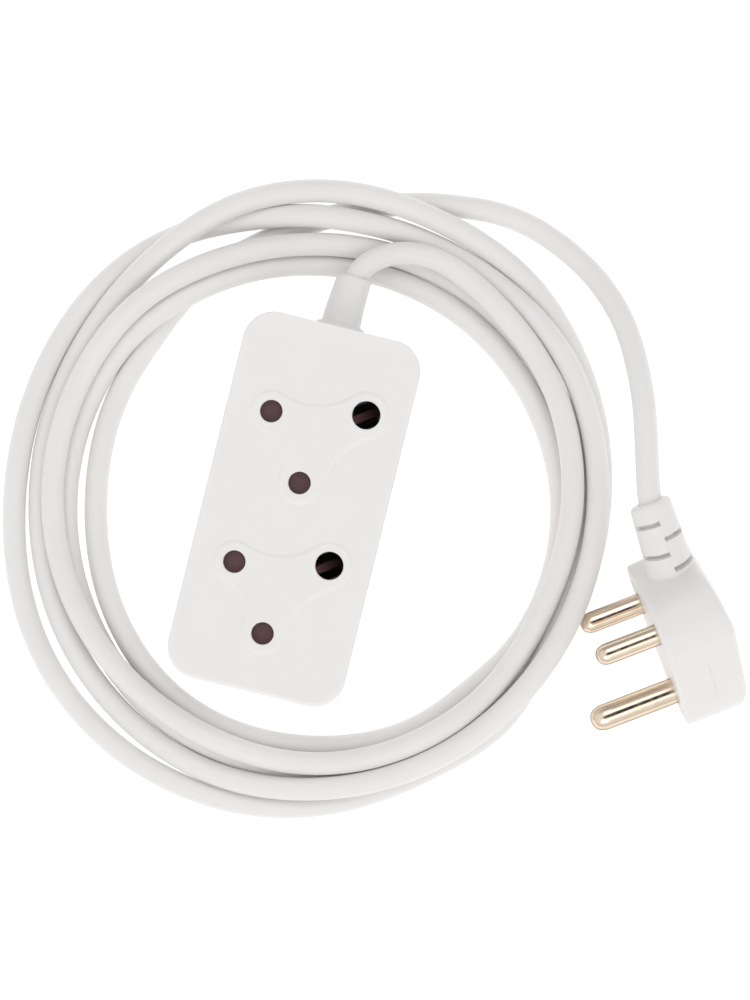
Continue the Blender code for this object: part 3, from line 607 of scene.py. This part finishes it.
def plug_thickness(y):
    """The back is crowned: thickest in the middle, thinner at the cord and at earth."""
    t = (y / MM + 41.2) / 53.8
    return (21.6 + 6.4 * t * 1.62 - 6.4 * 1.55 * t * t) * MM


def plug_section(centres, radius, depth):
    """The body's outline at a depth: a rounded triangle, drawn out towards the cord, most at the back
    and in a low mound round the sleeve."""
    reach = (1.05 + 1.45 * min(1, depth / (PLUG_BACK * MM))) * MM
    outline = belt(centres, radius)
    count = len(outline) // 3
    right, left = Vector(outline[count - 1]), Vector(outline[count])
    outline[count:count] = [right.lerp(left, step / 18).to_tuple() for step in range(1, 18)]
    drawn = []
    for x, y in outline:
        off = Vector((x, depth + PLUG_AXIS)).length / (13.5 * MM)
        mound = 1.4 * MM * max(0, 1 - off * off) ** 2
        drawn.append((x, y + (reach + mound) * max(0, y / PLUG_EDGE) ** 1.5, -depth))
    return drawn


def make_plug_body():
    """A rounded triangle, crowned at the back, with softened edges."""
    rings = []
    for inset, depth in [(0.9, 0.0), (0.5, 0.12), (0.2, 0.35), (0.05, 0.65), (0.0, 1.0)]:
        rings.append(plug_section(PLUG_CENTRES, PLUG_EDGE - inset * MM, depth * MM))
    for share in [0.08 * step for step in range(1, 11)] + [0.9]:
        ring = plug_section(PLUG_CENTRES, PLUG_EDGE, MM + share * 18 * MM)
        rings.append([(x, y, -MM - share * (plug_thickness(y) - 5 * MM)) for x, y, _ in ring])
    outer = plug_section(PLUG_CENTRES, PLUG_EDGE, PLUG_BACK * MM)
    inner = plug_section(PLUG_CENTRES, PLUG_EDGE - BACK_ROUNDING * MM, PLUG_BACK * MM)
    for step in range(9):
        turn = step / 8 * pi / 2
        rings.append([])
        for (x, y, _), (x_in, y_in, _) in zip(outer, inner):
            edge = BACK_ROUNDING - 2.0 * min(1, max(0, (y / MM - 2) / 10))  # tighter at the cord
            share = edge / BACK_ROUNDING * (1 - cos(turn))
            z = edge * (1 - sin(turn)) * MM - plug_thickness(y)
            rings[-1].append((x + (x_in - x) * share, y + (y_in - y) * share, z))
    rim = rings[-1]
    for share in (0.8, 0.6, 0.4, 0.2, 0.04):
        spots = [PLUG_MIDDLE.xy + (Vector(place[:2]) - PLUG_MIDDLE.xy) * share for place in rim]
        rings.append([(spot.x, spot.y, -plug_thickness(spot.y)) for spot in spots])
    body = add("plug_moulding", skin("plug_moulding", rings), MOULDING, PLUG, sharp=60)
    cavity = [at_height(belt(PLUG_CENTRES, CAVITY_EDGE), z) for z in (-17 * MM, MM)]
    entry = lathe("entry", [(4.3 * MM, 4 * MM), (4.3 * MM, 16 * MM)], 40)
    level = Matrix.Translation((0, 0, PLUG_AXIS)) @ Matrix.Rotation(-pi / 2, 4, "X")
    hollows = [cutter("cavity", skin("cavity", cavity), PLUG), cutter("entry", entry, PLUG @ level)]
    combine(body, "DIFFERENCE", hollows)
    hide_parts("plug_body")
    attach(body, "housing")
    return body


def make_pin_face():
    """The insert that carries the pins, just inside the body's pin face."""
    rings = []
    for inset, z in [(0.35, -4.5), (0.3, -0.5), (0.35, -0.2), (0.5, -0.08), (0.8, -0.05)]:
        rings.append(at_height(belt(PLUG_CENTRES, CAVITY_EDGE - inset * MM), z * MM))
    face = add("pin_face", skin("pin_face", rings), MOULDING, PLUG)
    holes = []
    for pole, place in PIN_PLACES.items():
        radius = 4.65 if pole == "earth" else 3.83  # about 0.3 mm clear of the pin
        shape = lathe("hole", [(radius * MM, -6 * MM), (radius * MM, MM)], 48)
        holes.append(cutter("hole", shape, PLUG @ Matrix.Translation((place[0] * MM, place[1] * MM, 0))))
    combine(face, "DIFFERENCE", holes)
    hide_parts("pin_carrier")
    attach(face, "housing")
    return face


def make_pins():
    """Solid pins with a thin root and a rounded tip."""
    made = []
    for pole, (x, y) in PIN_PLACES.items():
        radius, length = PIN_SIZES[pole]
        tip = 1.15 * radius
        profile = [(0.02, -9.5), (2.5, -9.5), (2.5, -5.0), (radius, -5.0), (radius, 0.6), (radius, 1.6)]
        profile += [(radius, length - tip - 0.8), (radius, length - tip)]
        for step in range(1, 10):
            turn = step / 9.3 * pi / 2
            profile.append((radius * cos(turn) ** 0.8, length - tip * (1 - sin(turn))))
        profile.append((0.02, length))
        name = f"{pole}_pin_brass"
        mesh = lathe(name, [(r * MM, z * MM) for r, z in profile], 56)
        pin = add(name, mesh, PIN_BRASS, PLUG @ Matrix.Translation((x * MM, y * MM, 0)), sharp=40)
        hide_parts(f"{pole}_pin")
        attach(pin, "housing")
        made.append(pin)
    return made


SLOT_FLOOR = 4.8  # radius at the bottom of a slot, in millimetres
# The sleeve's slots: distance from its tip in millimetres, middle and half width in degrees round it.
# Each has a twin on the far side.
RELIEF_SLOTS = [(6.6, 36, 41), (11.8, -41, 36), (16.7, 36, 41), (21.8, -41, 36)]


def relief_radius(height):
    """The sleeve's outer radius at a height above the plug, in millimetres: skirt, taper and soft tip."""
    skirt = 0.5 * min(1, max(0, 1 - (height - 2.8) / 4)) ** 2
    tip = max(0, height - RELIEF_LENGTH + 1.7) / 1.7
    return 7.83 - 0.042 * (height - 4) + skirt - 1.7 * (1 - sqrt(max(0, 1 - tip * tip)))


def slot_share(height, turn, level, middle, half):
    """How fully a point of the sleeve lies in a slot or its twin, from 0 to 1."""
    off = abs((turn - radians(middle) + pi / 2) % pi - pi / 2)
    depth = min(1, max(0, (0.8 - abs(height - level)) / 0.12))
    wall = min(1, max(0, (radians(half) - off) / radians(1.6) + 0.5))
    return depth * wall


def make_strain_relief():
    """A tapering sleeve with slots on alternate sides, then back through its bore."""
    slots = [(RELIEF_LENGTH - back, middle, half) for back, middle, half in RELIEF_SLOTS]
    heights = {-0.6, 0, 0.9, 1.8, 2.8, 3.5, 8, RELIEF_LENGTH - 3}
    heights |= {RELIEF_LENGTH - back for back in (1.7, 1.3, 0.95, 0.65, 0.4, 0.2, 0.07, 0)}
    for level, _, _ in slots:
        heights |= {level + d for d in (-1.2, -0.8, -0.74, -0.68, -0.3, 0, 0.3, 0.68, 0.74, 0.8, 1.2)}
    heights = sorted(heights)
    turns = {5 * side for side in range(72)}
    for _, middle, half in slots:
        for edge in (middle - half, middle + half, middle - half + 180, middle + half + 180):
            turns |= {(edge + d) % 360 for d in (-0.8, 0.8)}
    turns = [radians(turn) for turn in sorted(turns)]

    def sleeve_point(radius, turn, height):
        return PLUG @ relief_place(radius * cos(turn) * MM, height * MM, PLUG_AXIS + radius * sin(turn) * MM)

    rings = []
    for height in heights:
        ring = []
        for turn in turns:
            radius = relief_radius(height)
            for level, middle, half in slots:
                radius -= (radius - SLOT_FLOOR) * slot_share(height, turn, level, middle, half)
            ring.append(sleeve_point(radius, turn, height))
        rings.append(ring)
    lip = [(4.6, -0.02), (4.1, 0.03), (3.7, 0.3), (3.7, 1)]
    for radius, back in lip + [(4.1, back) for back in (2, 8, 14, 20, 26)]:
        rings.append([sleeve_point(radius, turn, RELIEF_LENGTH - back) for turn in turns])
    sleeve = add("strain_relief", skin("strain_relief", rings, loop=True), MOULDING, sharp=42)
    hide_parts("plug_strain_relief")
    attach(sleeve, "housing")
    return sleeve


def make_plug_mark():
    """The short raised line on each slanted side of the plug."""
    made = []
    for side in (1, -1):
        corner, end = Vector((side * 12.7, 0, 0)), Vector((*PIN_PLACES["earth"], 0))
        run = (end - corner).normalized()
        out = Vector((-run.y, run.x, 0)) * side
        centre = corner + run * 18.6 + out * 12.55 + Vector((0, 0, -12.2))
        rings = []
        for along, size in [(-9.4, 0.15), (-9.2, 0.8), (-8.9, 1), (8.9, 1), (9.2, 0.8), (9.4, 0.15)]:
            ring = []
            for step in range(12):
                turn = 2 * pi * step / 12
                offset = Vector((0, 0, 0.28 * cos(turn) * size)) + out * (0.26 * sin(turn) * size)
                ring.append((centre + run * along + offset) * MM)
            rings.append(ring)
        mark = add("plug_mark_a" if side > 0 else "plug_mark_b", skin("mark", rings), MOULDING, PLUG)
        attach(mark, "housing")
        made.append(mark)
    return made


# ---------------------------------------------------------------- screws


def make_screws():
    """Pan heads with a cross recess, seen from below."""
    for index, place in enumerate(BOSSES, 1):
        profile = [(0.02, 26.5), (1.0, 25.4), (1.55, 24.5), (1.55, 3.2), (3.0, 3.2), (3.0, 2.3), (2.85, 1.8)]
        profile += [(2.5, 1.35), (1.8, 1.1), (0.9, 1.0), (0.02, 1.0)]
        shape = lathe("screw", [(r * MM, z * MM) for r, z in profile], 40)
        screw = add(f"screw_{index}", shape, STEEL, Matrix.Translation((*place, 0)))
        cross = []
        for turn in (0, pi / 2):
            rings = []
            for z, half, thin in [(0.5, 1.7, 0.42), (2.0, 1.2, 0.34), (2.6, 0.5, 0.3)]:
                corners = [(half, thin), (-half, thin), (-half, -thin), (half, -thin)]
                rings.append([(x * MM, y * MM, z * MM) for x, y in corners])
            turned = Matrix.Translation((*place, 0)) @ Matrix.Rotation(turn + 0.4 + index, 4, "Z")
            cross.append(cutter("cross", skin("cross", rings), turned))
        combine(screw, "DIFFERENCE", cross)
        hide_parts(f"housing_screw_{index}")
        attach(screw, "housing")


def make_shutter_spring(outlet):
    """A wound spring behind the shutter, built at one fixed length."""
    route = []
    last = 16 * SPRING_TURNS
    for step in range(last + 1):
        turn = 2 * pi * step / 16
        along = SPRING_START + SPRING_LENGTH * step / last
        place = OUTLETS[outlet] + ACROSS * SPRING_RADIUS * cos(turn) - ALONG * along
        route.append((place.x, place.y, SPRING_HEIGHT + SPRING_RADIUS * sin(turn)))
    spring = add(f"spring_{outlet}", tube("spring", route, SPRING_WIRE, 8), WIRE_STEEL, sharp=60)
    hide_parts(f"shutter_spring_{outlet}")
    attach(spring, "housing")
    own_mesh(spring)


def dress_inner_nodes():
    """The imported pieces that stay: better materials only."""
    looks = {"cord_clamp": IVORY, "shutter_carrier": IVORY, "cord_tail": SHEATH, "shutter_1": SHUTTER,
             "shutter_2": SHUTTER}
    # Contacts and bus bars take the brass darkened with painted shade.
    words = {"contact": SHADED_CONTACT_BRASS, "bus": SHADED_CONTACT_BRASS, "spring": WIRE_STEEL, "screw": STEEL}
    for name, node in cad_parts.items():
        material = looks.get(name)
        for word, choice in words.items():
            if word in name:
                material = choice
        if "wire" in name:
            material = CORES[name.split("_")[0]]
        if material:
            node.data.materials.clear()
            node.data.materials.append(material)
            node.data.set_sharp_from_angle(angle=radians(35))


# ---------------------------------------------------------------- stage


def make_floor():
    """A pale sheet that glows a little, so that it stays white round the coil."""
    bm = bmesh.new()
    bmesh.ops.create_grid(bm, x_segments=4, y_segments=4, size=3)
    mesh = bpy.data.meshes.new("floor")
    bm.to_mesh(mesh)
    bm.free()
    floor = add("floor", mesh, FLOOR, Matrix.Translation((0, 0, -0.05 * MM)))
    shader = FLOOR.node_tree.nodes["Principled BSDF"]
    shader.inputs["Emission Color"].default_value = (1, 1, 1, 1)
    shader.inputs["Emission Strength"].default_value = 0.74


def make_surroundings():
    """A pale room with a dark camera port straight above and a darker wall behind the object."""
    world = bpy.data.worlds.new("studio")
    world.use_nodes = True
    nodes, links = world.node_tree.nodes, world.node_tree.links
    way = nodes.new("ShaderNodeTexCoord")

    def share_of(direction):
        node = nodes.new("ShaderNodeVectorMath")
        node.operation = "DOT_PRODUCT"
        node.inputs[1].default_value = direction
        links.new(way.outputs["Generated"], node.inputs[0])
        return node.outputs["Value"]

    ramp = nodes.new("ShaderNodeValToRGB")
    stops = ramp.color_ramp.elements
    stops[0].position, stops[0].color = 0.0, (0.7, 0.7, 0.7, 1)
    stops[1].position, stops[1].color = 0.6, (0.9, 0.9, 0.9, 1)
    for position, grey in ((0.967, 0.9), (0.979, 0.035)):
        stops.new(position).color = (grey, grey, grey, 1)
    links.new(share_of((0, 0, 1)), ramp.inputs["Fac"])
    links.new(ramp.outputs["Color"], nodes["Background"].inputs["Color"])
    shade = nodes.new("ShaderNodeMapRange")
    for socket, value in (("From Min", 0.4), ("From Max", 0.85), ("To Min", 1.03), ("To Max", 0.55)):
        shade.inputs[socket].default_value = value
    links.new(share_of(BEHIND), shade.inputs["Value"])
    links.new(shade.outputs["Result"], nodes["Background"].inputs["Strength"])
    bpy.context.scene.world = world


def make_softbox(name, place, size, power):
    light = bpy.data.lights.new(name, "AREA")
    light.shape = "SQUARE"
    light.size = size
    light.energy = power
    lamp = bpy.data.objects.new(name, light)
    lamp.location = place
    lamp.rotation_euler = (-place).to_track_quat("-Z", "Y").to_euler()
    lamp.visible_camera = False
    bpy.context.scene.collection.objects.link(lamp)


def make_camera():
    """Straight above, 1.2 m up."""
    camera = bpy.data.cameras.new("camera")
    camera.lens = 127.14
    camera.sensor_width = 36
    eye = bpy.data.objects.new("camera", camera)
    eye.location = Vector((25.2, 9.3, 1200)) * MM
    eye.rotation_euler = (0, 0, VIEW_TURN)
    bpy.context.scene.collection.objects.link(eye)
    bpy.context.scene.camera = eye
    bpy.context.scene.view_settings.view_transform = "Standard"


make_floor()
make_surroundings()
make_softbox("softbox_back", BEHIND * 1.0 + Vector((0, 0, 1.6)), 1.0, 3.4)
make_softbox("softbox_front", BEHIND * -1.1 + Vector((0, 0, 1.5)), 1.2, 3.9)
make_camera()
route = cord_route()
gland = make_gland()
plug_pieces = [make_plug_body(), make_pin_face(), make_strain_relief(), *make_pins(), *make_plug_mark()]
make_cord(route)
make_cover()
make_base()
make_screws()
for outlet_name in OUTLETS:
    make_shutter_spring(outlet_name)
dress_inner_nodes()
